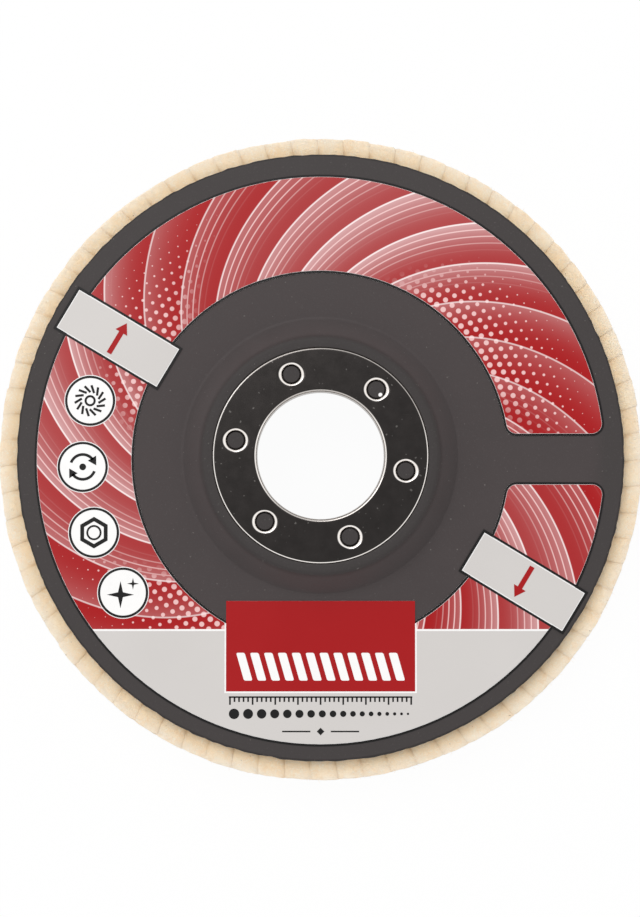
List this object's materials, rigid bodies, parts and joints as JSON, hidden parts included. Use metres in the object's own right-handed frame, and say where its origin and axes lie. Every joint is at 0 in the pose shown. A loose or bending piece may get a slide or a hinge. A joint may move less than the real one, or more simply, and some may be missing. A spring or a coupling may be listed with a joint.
{
  "type": "felt polishing disc",
  "caption": "Felt flap polishing disc: a fan of felt flaps glued under a depressed-centre plate with a steel ring in its hub and a printed label.",
  "frame": {"origin": "on the disc's axis, on the mounting face of the steel ring that seats on the grinder's flange", "axes": "+Z along the axis towards the grinder, with the felt on the -Z side; +X to the right and +Y up as the label is read"},
  "size_m": [0.1149, 0.115, 0.0207],
  "materials": {
    "moulded_plate": "matte",
    "dark_steel": "gloss",
    "resin": "gloss",
    "film_white": "satin",
    "print_red": "satin",
    "print_grey": "satin",
    "felt": "matte"
  },
  "bodies": {
    "root": {"backing_plate": "moulded_plate", "steel_ring": "dark_steel", "adhesive_bed": "resin", "label_film": "film_white", "label_red_field": "print_red", "label_grey_field": "print_grey", "label_panel": "print_red", "arrow_tabs": "print_grey", "direction_arrows": "print_red", "symbol_discs": "film_white", "felt_flaps_01": "felt", "felt_flaps_02": "felt", "felt_flaps_03": "felt", "felt_flaps_04": "felt", "felt_flaps_05": "felt", "felt_flaps_06": "felt", "felt_flaps_07": "felt", "felt_flaps_08": "felt", "felt_flaps_09": "felt", "felt_flaps_10": "felt", "felt_flaps_11": "felt", "felt_flaps_12": "felt", "felt_flaps_13": "felt", "felt_flaps_14": "felt", "felt_flaps_15": "felt", "felt_flaps_16": "felt", "felt_flaps_17": "felt", "felt_flaps_18": "felt", "felt_flaps_19": "felt", "felt_flaps_20": "felt", "felt_flaps_21": "felt", "felt_flaps_22": "felt", "felt_flaps_23": "felt", "felt_flaps_24": "felt", "felt_flaps_25": "felt"}
  },
  "joints": []
}
